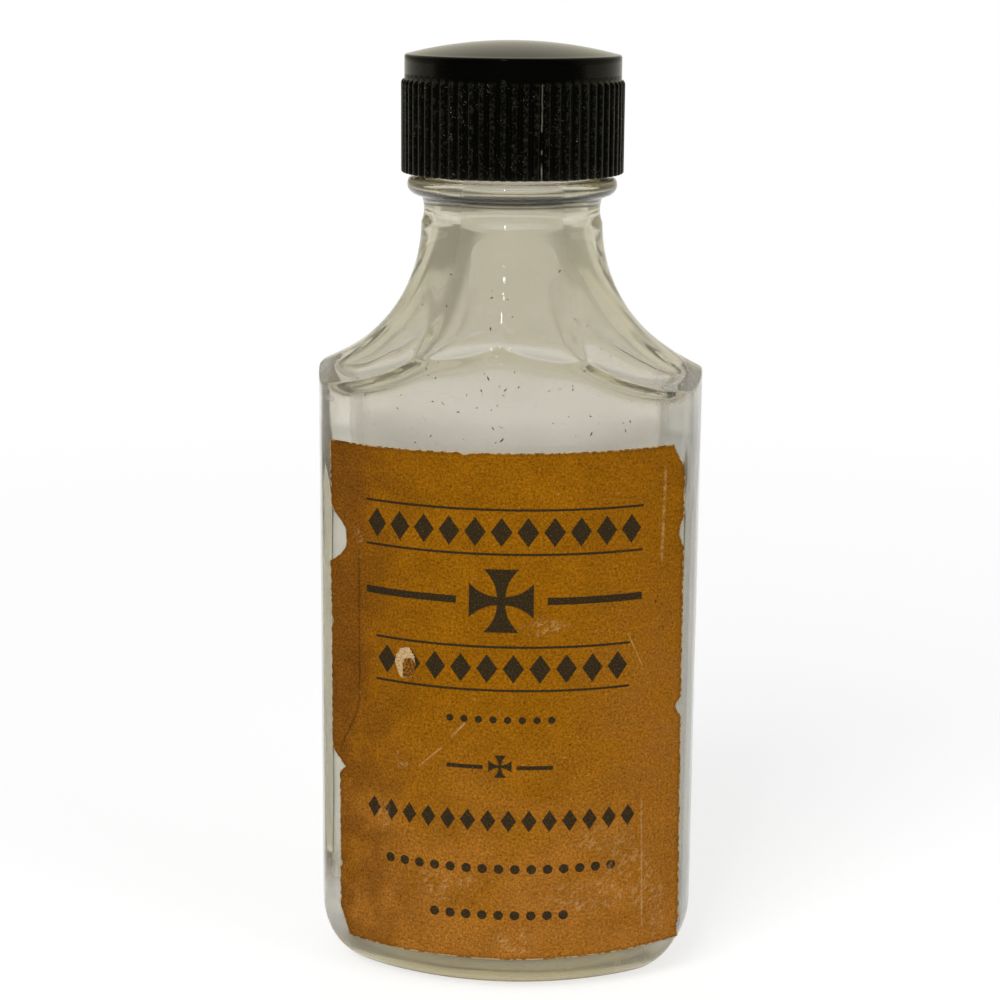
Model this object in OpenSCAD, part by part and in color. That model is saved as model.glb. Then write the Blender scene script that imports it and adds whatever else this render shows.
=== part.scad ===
// Small oval glass bottle for holy water: a faceted shoulder, a ribbed screw cap with a
// two-ply liner, and a pasted paper label. Millimetres, +Z up, standing on z = 0 with the
// neck's axis on Z. The labelled face looks towards -Y.

/* [Bottle body] */
// Width of the body across its narrow sides
body_w = 47.1; // [45:0.1:51]
// Depth of the body from front to back
body_d = 32.4; // [30:0.1:36]
// Radius, in plan, of the bowed front and back faces
face_r = 32.6; // [30:0.1:40]
// Radius of the rounded heel under the front and back faces
heel_r = 6; // [4:0.1:7]
// Radius of the rounded heel under the narrow sides
side_heel_r = 7.8; // [5:0.1:9]
// Thickness of the glass wall
wall_t = 2.6; // [1.8:0.1:3.4]
// Thickness of the glass floor
floor_t = 4.5; // [3:0.1:7]
// Radius of the corner between the floor and the wall inside
floor_r = 4.5; // [3:0.1:6]
// Radius of the dished hollow under the base
dish_r = 8; // [5:0.1:8.5]
// Depth of the dished hollow under the base
dish_h = 1.2; // [0.6:0.1:2]

/* [Shoulder] */
// Height at which the neck ends and the shoulder begins
neck_z = 94; // [91:0.1:98]
// Radius of the hollow sweep from the neck to the narrow sides
sweep_r = 18.5; // [17:0.1:21]
// Radius of the rounded corner where the sweep meets the narrow sides
corner_r = 1; // [0.8:0.1:2.4]
// Radius of the hollow sweep of the flat facets, front and back
facet_sweep_r = 22; // [21:0.1:25]
// Angle from one facet to the next
facet_turn = 36; // [30:1:40]
// How far outside the neck the facets' sweep starts
facet_lead = 0.15; // [0.1:0.01:0.3]

/* [Neck and finish] */
// Radius of the neck
neck_r = 11; // [10.4:0.1:11.6]
// Radius of the bore through the neck
bore_r = 6.4; // [5.5:0.1:7]
// Depth of the round groove under the bead
groove_depth = 0.35; // [0.2:0.05:0.6]
// Radius of the round groove under the bead
groove_r = 1.2; // [0.8:0.1:1.4]
// Radius of the bead
bead_r = 12.7; // [12.4:0.1:12.9]
// Radius of the bead's rounded underside
bead_round_r = 1.25; // [1.2:0.05:1.7]
// Height from the middle of the bead's round to its flat top
bead_crown_h = 0.85; // [0.5:0.05:1.2]
// Height from the top of the neck to the flat top of the bead
bead_rise = 5.4; // [5:0.1:6]
// Radius of the screw finish between its threads
finish_r = 10.75; // [10.2:0.05:11]
// Height of the screw finish from the bead to the lip
finish_h = 11.9; // [10:0.1:14]
// Radius of the lip's rounded outer edge
lip_round_r = 0.8; // [0.4:0.1:1.2]

/* [Cap] */
// Radial room that the screw thread takes
thread_depth = 1.05; // [0.8:0.05:1.2]
// Radial clearance between the thread and the cap's bore
thread_gap = 0.2; // [0.1:0.05:0.3]
// Wall of the skirt behind the ribs
skirt_t = 1.05; // [0.9:0.05:1.4]
// Number of gripping ribs
rib_count = 64; // [48:4:72]
// Height of a rib over the skirt
rib_h = 0.4; // [0.3:0.05:0.5]
// Radius of a rib's rounded top
rib_r = 0.45; // [0.35:0.05:0.5]
// Gap between the skirt and the top of the bead
skirt_gap = 0.55; // [0.2:0.05:0.8]
// Height of the smooth band above the ribs
band_h = 2.95; // [2:0.05:4]
// Thickness of the crown at its edge
crown_t = 1.6; // [1.2:0.1:2.4]
// Rise of the domed top
dome_h = 1.6; // [1:0.1:2.4]
// Radius of the crown's rounded rim
rim_r = 0.35; // [0.2:0.05:0.6]

/* [Liner] */
// Thickness of the board backing
backing_t = 0.9; // [0.6:0.05:1.4]
// Thickness of the waxed paper facing
facing_t = 0.2; // [0.1:0.05:0.3]
// Radial clearance of the liner in the cap
liner_gap = 0.2; // [0.1:0.05:0.4]

/* [Label] */
// Height of the label's lower edge
label_foot = 4.9; // [4.6:0.1:7]
// Height of the label
label_h = 63.6; // [58:0.1:65]
// Distance, in front view, from the label's edges to the narrow sides
label_margin = 2; // [1.9:0.1:4]
// Distance by which the label was pasted off the middle
label_shift = 0.45; // [0:0.05:0.5]
// Angle by which the label was pasted askew
label_tilt = 0.7; // [0:0.1:1]
// Thickness of the label's paper
label_t = 0.12; // [0.1:0.01:0.2]
// Thickness of the paste under the label
paste_t = 0.06; // [0.05:0.01:0.1]

/* [Hidden] */
$fn = 96;

// Spare length by which cutters and overlapping blocks run past what they meet
spare = 1;
full_turn = 360;

side_r = body_w / 2;
face_y = face_r - body_d / 2;
sweep_x = neck_r + sweep_r;
corner_z = neck_z - leg(sweep_r, sweep_x - side_r);
bead_z = neck_z + bead_rise;
lip_z = bead_z + finish_h;

inner_r = side_r - wall_t;
room_z = corner_z - wall_t;
inner_sweep_r = tangent_arc_r(inner_r - bore_r, neck_z - room_z);

backing_z = lip_z + facing_t;
crown_z = backing_z + backing_t;
skirt_z = bead_z + skirt_gap;
rim_z = crown_z + crown_t;
rib_top_z = rim_z - band_h;
cap_bore_r = finish_r + thread_depth + thread_gap;
skirt_r = cap_bore_r + skirt_t;
ribbed_r = skirt_r + rib_h;
liner_r = cap_bore_r - liner_gap;

paper_r = face_r + paste_t;
label_half_w = side_r - label_margin;
label_mid_z = label_foot + label_h / 2;

// Facets left and right of the front, counted in steps of facet_turn
facet_places = [-1.5 : 1 : 1.5];

// Pieces torn from the label's edges: side, height over its foot, centre past the edge, radius
label_tears = [[-1, 52, 1.05, 3.4], [1, 52.5, 2.1, 2.7], [1, 30, 1.2, 1.9], [-1, 40.5, 0.2, 0.6]];
// Worn corners of the label: how far each one goes in along the foot or top, and along the side
top_corner_wear = [1.4, 2.9];
foot_corner_wear = [1.9, 3.5];
// Strip worn off the lower left side: its width, its height and the slope above it
side_wear = [0.9, 22, 2.3];

// Second leg of a right triangle
function leg(hypotenuse, side) = sqrt(hypotenuse * hypotenuse - side * side);

// Radius of the arc that leaves a line straight and is off it by across after along
function tangent_arc_r(across, along) = (across * across + along * along) / (2 * across);

// Half section of a round block with a rounded lower edge
module heeled_section(r, h, round_r) {
    square([r - round_r, h]);
    translate([0, round_r]) square([r, h - round_r]);
    translate([r - round_r, round_r]) circle(round_r);
}

// Half section of the body up to the neck, with the hollow sweep of its shoulder
module body_section() {
    round_at = [side_r - corner_r, neck_z - leg(sweep_r + corner_r, sweep_x - side_r + corner_r)];
    sweep_at = [sweep_x, neck_z];
    touch_at = sweep_at + (round_at - sweep_at) * sweep_r / (sweep_r + corner_r);
    past_side = side_r + spare;
    difference() {
        heeled_section(side_r, neck_z, side_heel_r);
        translate(sweep_at) circle(sweep_r);
        // What the rounded corner takes off
        difference() {
            polygon([round_at, [past_side, round_at.y], [past_side, touch_at.y], touch_at]);
            translate(round_at) circle(corner_r);
        }
    }
}

// Half section of the neck, its groove and bead, and the screw finish
module neck_section() {
    difference() {
        union() {
            translate([0, neck_z - spare]) square([neck_r, bead_rise + spare]);
            intersection() {
                translate([bead_r - bead_round_r, bead_z - bead_crown_h]) circle(bead_round_r);
                translate([0, neck_z]) square([bead_r, bead_rise]);
            }
        }
        translate([neck_r - groove_depth + groove_r, neck_z + groove_r]) circle(groove_r);
    }
    translate([0, bead_z - spare]) square([finish_r, finish_h + spare - lip_round_r]);
    translate([0, bead_z - spare]) square([finish_r - lip_round_r, finish_h + spare]);
    translate([finish_r - lip_round_r, lip_z - lip_round_r]) circle(lip_round_r);
}

// Round block whose front (side 1) or back (side -1) is one bowed face of the body
module face_block(side, inset, floor_z, round_r) {
    translate([0, side * face_y, floor_z])
        rotate_extrude() heeled_section(face_r - inset, lip_z + 2 * spare - floor_z, round_r);
}

// Slab whose two edges are one front facet and the back facet opposite it
module facet_slab(place) {
    facet_x = neck_r + facet_lead + facet_sweep_r;
    rotate(place * facet_turn) rotate([90, 0, 90]) linear_extrude(2 * side_r + 2 * spare, center = true)
        difference() {
            translate([-facet_x, -spare]) square([2 * facet_x, lip_z + 2 * spare]);
            for (side = [-1, 1]) intersection() {
                translate([side * facet_x, neck_z]) circle(facet_sweep_r);
                translate([-facet_x, 0]) square([2 * facet_x, neck_z]);
            }
        }
}

// Half section of the room inside: the body, the inner sweep of the shoulder and the bore
module room_section() {
    difference() {
        translate([0, floor_t]) heeled_section(inner_r, neck_z - floor_t, floor_r);
        translate([bore_r + inner_sweep_r, neck_z]) circle(inner_sweep_r);
    }
    translate([0, neck_z - spare]) square([bore_r, lip_z + 2 * spare - neck_z]);
}

module bottle() {
    dish_ball_r = tangent_arc_r(dish_h, dish_r);
    color("gainsboro") difference() {
        intersection() {
            rotate_extrude() {
                body_section();
                neck_section();
            }
            face_block(1, 0, 0, heel_r);
            face_block(-1, 0, 0, heel_r);
            intersection_for (place = facet_places) facet_slab(place);
        }
        intersection() {
            rotate_extrude() room_section();
            face_block(1, wall_t, floor_t, floor_r);
            face_block(-1, wall_t, floor_t, floor_r);
        }
        translate([0, 0, dish_h - dish_ball_r]) sphere(dish_ball_r);
    }
}

// Plan of the skirt: a disc with round-topped ribs
module ribbed_plan() {
    circle(skirt_r);
    for (rib = [0 : rib_count - 1])
        rotate(rib * full_turn / rib_count) translate([ribbed_r - rib_r, 0]) circle(rib_r);
}

// Half section of the crown: the smooth band, its rounded rim and the dome
module crown_section() {
    dome_edge_r = skirt_r - rim_r;
    dome_ball_r = tangent_arc_r(dome_h, dome_edge_r);
    translate([0, rib_top_z]) square([skirt_r, band_h - rim_r]);
    translate([dome_edge_r, rim_z - rim_r]) circle(rim_r);
    intersection() {
        translate([0, rim_z + dome_h - dome_ball_r]) circle(dome_ball_r);
        translate([0, rim_z - rim_r]) square([dome_edge_r, rim_r + dome_h]);
    }
}

module cap() {
    bevel_h = rib_top_z - skirt_z + skirt_r;
    color("#15130f") difference() {
        union() {
            rotate_extrude() crown_section();
            // The cone bevels the upper ends of the ribs
            translate([0, 0, skirt_z]) intersection() {
                linear_extrude(rib_top_z - skirt_z) ribbed_plan();
                cylinder(h = bevel_h, r1 = bevel_h, r2 = 0);
            }
        }
        translate([0, 0, skirt_z - spare]) cylinder(h = crown_z - skirt_z + spare, r = cap_bore_r);
    }
}

module liner_backing() {
    color("burlywood") translate([0, 0, backing_z]) cylinder(h = backing_t, r = liner_r);
}

module liner_facing() {
    color("ivory") translate([0, 0, lip_z]) cylinder(h = facing_t, r = liner_r);
}

// Front view of the worn label, its foot on y = 0 and its middle on x = 0
module worn_outline() {
    left = -label_half_w;
    right = label_half_w;
    difference() {
        polygon([
            [left, label_h],
            [right - top_corner_wear.x, label_h],
            [right, label_h - top_corner_wear.y],
            [right, 0],
            [left + foot_corner_wear.x, 0],
            [left + side_wear.x, foot_corner_wear.y],
            [left + side_wear.x, side_wear.y],
            [left, side_wear.y + side_wear.z]
        ]);
        for (tear = label_tears) translate([tear[0] * (label_half_w + tear[2]), tear[1]]) circle(tear[3]);
    }
}

module label() {
    color("#945e10") intersection() {
        translate([0, face_y, 0]) difference() {
            cylinder(h = label_foot + label_h + spare, r = paper_r + label_t);
            translate([0, 0, -spare]) cylinder(h = label_foot + label_h + 3 * spare, r = paper_r);
        }
        translate([label_shift, 0, label_mid_z]) rotate([90, -label_tilt, 0])
            linear_extrude(side_r) translate([0, -label_h / 2]) worn_outline();
    }
}

bottle();
cap();
liner_backing();
liner_facing();
label();
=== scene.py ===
"""Looks of a small oval glass bottle for holy water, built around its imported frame.

Everything is in metres, in the frame's own axes: +Z up the neck, the labelled face towards -Y.
"""

import math
import random
from functools import partialmethod, reduce

import bpy
import numpy as np
from mathutils import Matrix, Vector, noise


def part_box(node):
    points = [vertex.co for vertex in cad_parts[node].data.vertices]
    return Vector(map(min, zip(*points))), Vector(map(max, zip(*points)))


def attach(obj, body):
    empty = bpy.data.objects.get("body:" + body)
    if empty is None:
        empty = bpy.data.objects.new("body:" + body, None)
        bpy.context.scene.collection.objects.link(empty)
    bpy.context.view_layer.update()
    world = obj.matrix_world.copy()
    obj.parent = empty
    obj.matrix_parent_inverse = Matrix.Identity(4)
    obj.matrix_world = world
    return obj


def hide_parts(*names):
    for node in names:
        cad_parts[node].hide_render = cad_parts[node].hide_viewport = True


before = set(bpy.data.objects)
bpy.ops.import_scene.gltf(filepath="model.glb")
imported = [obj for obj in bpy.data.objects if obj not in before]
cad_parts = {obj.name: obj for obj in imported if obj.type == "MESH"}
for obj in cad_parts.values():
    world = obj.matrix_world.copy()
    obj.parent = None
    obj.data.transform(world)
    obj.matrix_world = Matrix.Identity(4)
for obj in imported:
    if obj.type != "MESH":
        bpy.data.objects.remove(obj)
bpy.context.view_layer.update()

bl_info = {
    "name": "Holy Water Bottle",
    "version": (1, 0, 0),
    "blender": (4, 5, 0),
    "location": "View3D > Sidebar > Bottle",
    "description": "Models the glass, cap, liner and label of a small oval bottle",
    "category": "Object",
}

MM = 0.001
FULL_TURN = 2.0 * math.pi
# A distance that no part of the bottle reaches, and the least cosine at which a facet counts
FAR = 1.0
LEAST_FACING = 0.05
# Steps round the axis of the turned pieces, steps of the label's grid, and number of specks
GLASS_STEPS = 240
STEPS_PER_RIB = 12
LINER_STEPS = 96
LABEL_COLUMNS = 120
LABEL_ROWS = 170
SPECKS = 130
# Rise from the neck's foot to the bead's top, and from there to the thread's start; the bead's radius
BEAD_RISE = 5.4 * MM
THREAD_RISE = 2.8 * MM
BEAD_RADIUS = 12.7 * MM
# How far the facets stand outside the neck, and the drop in which the neck's glass thins to the wall's
FACET_STEP = 0.15 * MM
THINNING = 14 * MM
# Depth, number and height of the waves inside the glass
WAVE_DEPTH = 0.10 * MM
WAVES_ROUND = 2.2
WAVE_RISE = 9 * MM
# Radii of the lip's outer and inner edge, of the room's lower corner, and of the cap's hem
LIP_OUTER = 0.8 * MM
LIP_INNER = 0.6 * MM
FLOOR_CORNER = 4.5 * MM
HEM = 0.2 * MM
# Millimetres of flat paper that the label's UV map spans
FLAT_SPAN = 100.0


def srgb(red, green, blue):
    """Linear colour of three display values from 0 to 255."""
    def linear(value):
        share = value / 255.0
        return share / 12.92 if share <= 0.04045 else ((share + 0.055) / 1.055) ** 2.4
    return (linear(red), linear(green), linear(blue))


def number(name, description, default, unit="NONE", **limits):
    """A number that a user may change."""
    return bpy.props.FloatProperty(
        name=name, description=description, default=default, unit=unit, **limits)


def length(name, description, millimetres):
    """A length that a user may change."""
    return number(name, description, millimetres * MM, "LENGTH", min=0.0, precision=5)


def rotation(name, description, degrees):
    """An angle that a user may change."""
    return number(name, description, math.radians(degrees), "ROTATION")


def paint(name, description, red, green, blue):
    """A colour that a user may change, given as display values."""
    return bpy.props.FloatVectorProperty(
        name=name, description=description, default=srgb(red, green, blue), min=0.0, max=1.0,
        size=3, subtype="COLOR")


class GlassSettings(bpy.types.PropertyGroup):
    """Sizes and tint of the glass"""
    face_radius: length("Face radius", "Radius, in plan, of the bowed front and back", 32.6)
    heel: length("Heel", "Radius of the rounded heel under the front and back", 6.0)
    side_heel: length("Side heel", "Radius of the rounded heel under the narrow sides", 7.8)
    wall: length("Wall", "Thickness of the glass wall", 2.6)
    floor: length("Floor", "Thickness of the glass floor", 4.5)
    dish: length("Dish", "Radius of the hollow under the base", 8.0)
    dish_depth: length("Dish depth", "Depth of the hollow under the base", 1.2)
    neck_foot: length("Neck foot", "Height at which the shoulder ends and the neck begins", 94.0)
    neck_radius: length("Neck radius", "Radius of the neck", 11.0)
    bore: length("Bore", "Radius of the bore through the neck", 6.4)
    sweep: length("Side sweep", "Radius of the hollow sweep over the narrow sides", 18.5)
    facet_sweep: length("Facet sweep", "Radius of the hollow sweep of the flat facets", 22.0)
    finish_radius: length("Finish radius", "Radius of the finish between its threads", 10.75)
    thread_depth: length("Thread depth", "How far the thread stands out of the finish", 1.0)
    thread_pitch: length("Thread pitch", "Rise of the thread in one turn", 3.175)
    softness: length("Edge softness", "How far the moulded edges are rounded", 0.10)
    inner_softness: length("Inner softness", "How far the shoulder is rounded inside", 1.0)
    tint: paint("Tint", "Colour that a wall of the glass leaves of white light", 240, 238, 234)
    deep_tint: paint("Deep tint", "Colour that thick glass tends to", 233, 229, 200)
    density: number("Density", "How strongly thick glass takes its deep tint", 60.0)
    haze: number("Haze", "How far old scratches and films dull the glass", 0.08, min=0.0, max=1.0)
    heel_tint: paint("Heel tint", "Colour of the rubbed film round the heel", 226, 214, 172)
    dirt: paint("Dirt", "Colour of the dried specks on the glass", 96, 84, 66)


class CapSettings(bpy.types.PropertyGroup):
    """Sizes and colours of the cap"""
    ribs: bpy.props.IntProperty(name="Ribs", description="Number of gripping ribs", default=64, min=12)
    rib_height: length("Rib height", "How far a rib stands out of the skirt", 0.4)
    rib_round: length("Rib round", "Radius of a rib's rounded top", 0.45)
    band: length("Band", "Height of the smooth band above the ribs", 2.95)
    dome: length("Dome", "Rise of the domed top", 1.6)
    rim: length("Rim", "Radius of the rounded rim", 0.35)
    bore: length("Bore", "Radius of the bore between the threads", 12.0)
    thread_depth: length("Thread depth", "How far the thread stands into the bore", 0.95)
    black: paint("Black", "Colour of the moulded resin", 4, 4, 3)
    # The scuff colour also serves as painted light on the rib crests, against painted shade in the valleys
    scuff: paint("Scuff", "Colour of the rubbed ribs", 38, 37, 29)
    dust: paint("Dust", "Colour of the dust and chips", 150, 146, 130)


class LinerSettings(bpy.types.PropertyGroup):
    """Sizes and colours of the liner"""
    dent: length("Dent", "Depth of the ring that the lip has pressed in", 0.07)
    board: paint("Board", "Colour of the pulpboard", 176, 148, 104)
    waxed_paper: paint("Waxed paper", "Colour of the waxed paper", 226, 219, 196)
    stain: paint("Stain", "Colour of the stains", 150, 116, 66)


class LabelSettings(bpy.types.PropertyGroup):
    """Sizes and colours of the label"""
    ragged: length("Raggedness", "Size of the small tears along the edges", 0.10)
    paper: paint("Paper", "Colour of the middle of the label", 150, 95, 8)
    worn_paper: paint("Worn paper", "Colour of the rubbed lower part", 166, 107, 38)
    dark_paper: paint("Dark paper", "Colour of the darkened left side", 126, 76, 18)
    torn_paper: paint("Torn paper", "Colour of the bared fibres", 214, 186, 138)
    scuffed_paper: paint("Scuffed paper", "Colour of the rubbed places", 206, 160, 104)
    ink: paint("Ink", "Colour of the printing", 38, 38, 28)
    gummed_back: paint("Gummed back", "Colour of the back, seen through the glass", 244, 230, 184)


class StageSettings(bpy.types.PropertyGroup):
    """Camera and light"""
    azimuth: rotation("Azimuth", "Angle of the camera round the bottle", 4.736)
    distance: length("Distance", "Level distance from the neck's axis to the camera", 296.03)
    height: length("Height", "Height of the camera", 125.75)
    tilt: rotation("Tilt", "Angle by which the camera looks down", 12.66)
    pan: rotation("Pan", "Angle by which the camera looks past the axis", 0.229)
    roll: rotation("Roll", "Angle by which the camera leans", 0.451)
    lens: number("Lens", "Focal length for a 36 mm sensor", 87.66, "CAMERA")
    ambient: number("Ambient", "Strength of the light from all round", 0.38)
    key_power: number("Key power", "Power of the large front lamp", 7.0, "POWER")
    fill_power: number("Fill power", "Power of the lamp on the right", 2.0, "POWER")
    ridge_power: number("Ridge power", "Power of the narrow lamps for the shoulder's ridge", 0.19, "POWER")


class BottleSettings(bpy.types.PropertyGroup):
    """All that the panel shows"""
    glass: bpy.props.PointerProperty(type=GlassSettings)
    cap: bpy.props.PointerProperty(type=CapSettings)
    liner: bpy.props.PointerProperty(type=LinerSettings)
    label: bpy.props.PointerProperty(type=LabelSettings)
    stage: bpy.props.PointerProperty(type=StageSettings)


def deselect():
    """Leaves object mode with nothing selected."""
    if bpy.context.object is not None and bpy.context.object.mode != "OBJECT":
        bpy.ops.object.mode_set(mode="OBJECT")
    bpy.ops.object.select_all(action="DESELECT")


def activate(obj):
    """Makes obj the only selected object."""
    deselect()
    obj.select_set(True)
    bpy.context.view_layer.objects.active = obj


def added(operator, name, **options):
    """The object that an operator adds, under a name of its own."""
    deselect()
    operator(**options)
    bpy.context.object.name = name
    return bpy.context.object


def blank(name, across, up):
    """A plain grid one metre wide, to be pressed to shape."""
    grid = bpy.ops.mesh.primitive_grid_add
    obj = added(grid, name, x_subdivisions=across, y_subdivisions=up, size=1.0)
    obj.data.name = name
    return obj


def places(mesh):
    """The places of a mesh's vertices, one to a row."""
    values = np.empty(len(mesh.vertices) * 3)
    mesh.vertices.foreach_get("co", values)
    return values.reshape(-1, 3)


def edit_all(obj, *steps):
    """Runs steps of editing, each with its options, on the whole of a mesh."""
    activate(obj)
    bpy.ops.object.mode_set(mode="EDIT")
    bpy.ops.mesh.select_all(action="SELECT")
    for step, options in steps:
        step(**options)
    bpy.ops.object.mode_set(mode="OBJECT")


def turned_piece(name, rows, steps):
    """A blank pressed round Z: each row is a function of the angle and of its own share."""
    obj = blank(name, steps, len(rows) - 1)
    mesh = obj.data
    place = places(mesh)
    angle = place[:, 0] * FULL_TURN
    row = np.rint((place[:, 1] + 0.5) * (len(rows) - 1)).astype(int)
    for order, (shape, share) in enumerate(rows):
        picked = row == order
        turn = angle[picked]
        radius, height = shape(turn, share)
        place[picked, 0] = radius * np.sin(turn)
        place[picked, 1] = -radius * np.cos(turn)
        place[picked, 2] = height
    mesh.vertices.foreach_set("co", place.ravel())
    mesh.update()
    edit_all(obj, (bpy.ops.mesh.remove_doubles, {"threshold": 0.001 * MM}),
             (bpy.ops.mesh.normals_make_consistent, {"inside": False}))
    bpy.ops.object.shade_smooth()
    deselect()
    return obj


def fixed(angle, point):
    """A round row at one radius and height."""
    return point[0] + 0.0 * angle, point[1]


def row_list(*groups):
    """Rows of several groups, each a shape with the shares or points at which it is taken."""
    return [(shape, share) for shape, values in groups for share in values]


def shares(count, ends=False, ease=0.0):
    """Shares from 0 to 1, without the last unless ends is set. A positive ease crowds them at 1."""
    steps = count - 1 if ends else count
    plain = [order / steps for order in range(count)]
    return [(1.0 + ease) * share - ease * share * share for share in plain]


def stretch(low, high, share):
    """The value a share of the way from low to high."""
    return low + (high - low) * share


def smooth_step(low, high, value):
    """0 below low and 1 above high, with a smooth rise between them."""
    share = np.clip((value - low) / (high - low), 0.0, 1.0)
    return share * share * (3.0 - 2.0 * share)


def soft_min(values, softness):
    """The least of several distances, with the edges between them rounded inwards."""
    stack = np.stack(np.broadcast_arrays(*values))
    least = stack.min(axis=0)
    return least - softness * np.log(np.exp((least - stack) / softness).sum(axis=0))


def leg(longest, other):
    """The third side of a right triangle, or 0 where there is none."""
    return np.sqrt(np.maximum(longest ** 2 - other ** 2, 0.0))


def swept(axis, sweep, drop):
    """Distance from the neck's axis to a hollow sweep, at a drop below the neck's foot."""
    return np.where(drop < sweep, axis - leg(sweep, drop), FAR)


def bowed_face(angle, radius, offset):
    """Distance from the neck's axis to a bowed face whose own axis lies behind it by offset."""
    return leg(radius, offset * np.sin(angle)) - offset * np.abs(np.cos(angle))


def heel_radius(radius, heel, height):
    """Radius of a round block with a rounded lower edge, at a height over its foot."""
    return radius - heel + leg(heel, np.clip(heel - height, 0.0, heel))


def screw_ridge(angle, height, start, pitch, turns, half_width):
    """Share of a right-hand thread's depth at an angle and height; it runs in and out at its ends."""
    place = (height - start) / pitch - angle / FULL_TURN
    nearest = np.round(place)
    off = np.abs(place - nearest) * pitch
    along = nearest + angle / FULL_TURN
    run = smooth_step(0.0, 0.12, along) * (1.0 - smooth_step(turns - 0.12, turns, along))
    return run * (1.0 - smooth_step(0.35 * half_width, half_width, off))


class BottleForm:
    """The moulded shape of the bottle, outside and in."""

    def __init__(self, s):
        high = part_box("bottle")[1]
        self.s = s
        self.side = high.x
        self.lip = high.z
        self.offset = s.face_radius - high.y
        self.sweep_axis = s.neck_radius + s.sweep
        self.facet_axis = s.neck_radius + FACET_STEP + s.facet_sweep
        self.facets = [math.radians(turn) for turn in (18, 54, 126, 162, 198, 234, 306, 342)]
        self.room_top = 66 * MM
        self.bead_top = s.neck_foot + BEAD_RISE
        self.finish_foot = self.bead_top + 0.4 * MM
        self.finish_top = self.lip - LIP_OUTER

    def outer(self, angle, height):
        """Radius of the outside up to the neck."""
        s = self.s
        height = np.broadcast_to(height, angle.shape)
        face = heel_radius(s.face_radius, s.heel, height)
        drop = np.maximum(s.neck_foot - height, 0.0)
        flare = swept(self.sweep_axis, s.sweep, drop)
        turned = soft_min([heel_radius(self.side, s.side_heel, height), flare], 3.5 * s.softness)
        walls = [turned, bowed_face(angle, face, self.offset)]
        facet = swept(self.facet_axis, s.facet_sweep, drop)
        return soft_min(walls + self.facet_walls(angle, facet), s.softness)

    def facet_walls(self, angle, distance):
        """Radius of each facet, whose middle lies at a distance from the axis."""
        facings = [np.cos(angle - turn) for turn in self.facets]
        return [np.where(facing > LEAST_FACING, distance / np.maximum(facing, LEAST_FACING), FAR)
                for facing in facings]

    def break_height(self, angle):
        """Height at which the shoulder starts to cut into the body."""
        s = self.s
        body = np.minimum(self.side, bowed_face(angle, s.face_radius, self.offset))
        gap = np.minimum(self.sweep_axis - body, s.sweep)
        heights = [s.neck_foot - leg(s.sweep, gap)]
        for turn in self.facets:
            facing = body * np.cos(angle - turn)
            gap = self.facet_axis - facing
            inside = (gap < s.facet_sweep) & (facing > 0.0)
            fall = leg(s.facet_sweep, gap)
            heights.append(np.where(inside, s.neck_foot - fall, s.neck_foot))
        return np.min(np.stack(heights), axis=0)

    def hollow(self, drop, axis, sweep):
        """Distance to the inside of a sweep, where the glass thickens towards the neck."""
        s = self.s
        outside = sweep + stretch(s.neck_radius - s.bore, s.wall, np.clip(drop / THINNING, 0.0, 1.0))
        return swept(axis, outside, drop)

    def inner(self, angle, height):
        """Radius of the room inside: it follows the outside softly and is slightly wavy."""
        s = self.s
        height = np.broadcast_to(height, angle.shape)
        over = height - s.floor
        face = heel_radius(s.face_radius - s.wall, FLOOR_CORNER, over)
        walls = [heel_radius(self.side - s.wall, FLOOR_CORNER, over), bowed_face(angle, face, self.offset)]
        drop = np.maximum(s.neck_foot - height, 0.0)
        turned = self.hollow(drop, self.sweep_axis, s.sweep)
        facet = self.hollow(drop, self.facet_axis, s.facet_sweep)
        hollows = [turned] + self.facet_walls(angle, facet)
        # The corners of the room are rounder below the shoulder than in it
        rise = smooth_step(58 * MM, 70 * MM, float(height.flat[0]))
        plan = soft_min(walls, stretch(4.0, 1.8, rise) * s.inner_softness)
        radius = soft_min([plan, soft_min(hollows, 0.6 * MM)], 0.4 * s.inner_softness)
        radius = stretch(radius, turned, smooth_step(85 * MM, 94 * MM, height))
        calm = smooth_step(s.floor, s.floor + 6 * MM, height) * (1 - smooth_step(88 * MM, 94 * MM, height))
        wave = [noise.noise(Vector((WAVES_ROUND * math.sin(a), WAVES_ROUND * math.cos(a), h / WAVE_RISE)))
                for a, h in zip(angle, height)]
        return radius - WAVE_DEPTH * calm * (1.0 + np.array(wave))

    def rows(self):
        """Rows from the middle of the base, up the outside, over the lip and down to the floor."""
        s = self.s
        ball = (s.dish ** 2 + s.dish_depth ** 2) / (2.0 * s.dish_depth)

        def dish(angle, share):
            radius = s.dish * share + 0.0 * angle
            return radius, s.dish_depth - ball + leg(ball, s.dish * share)

        def foot(angle, share):
            return stretch(s.dish, self.outer(angle, 0.0), share), 0.0

        def heel(angle, share):
            height = s.side_heel * (1.0 - math.cos(0.5 * math.pi * share))
            return self.outer(angle, height), height

        def wall(angle, share):
            height = stretch(s.side_heel, self.break_height(angle), share)
            return self.outer(angle, height), height

        def shoulder(angle, share):
            height = stretch(self.break_height(angle), s.neck_foot, share)
            return self.outer(angle, height), height

        def finish(angle, share):
            height = stretch(self.finish_foot, self.finish_top, share)
            start = self.bead_top + THREAD_RISE
            ridge = screw_ridge(angle, height, start, s.thread_pitch, turns=1.7, half_width=0.85 * MM)
            return s.finish_radius + s.thread_depth * ridge, height

        def bore(angle, share):
            return s.bore + 0.0 * angle, stretch(self.lip - LIP_INNER, s.neck_foot, share)

        def inner_shoulder(angle, share):
            height = stretch(s.neck_foot, self.room_top, share)
            return self.inner(angle, height), height

        def inner_wall(angle, share):
            height = stretch(self.room_top, s.floor + FLOOR_CORNER, share)
            return self.inner(angle, height), height

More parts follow.
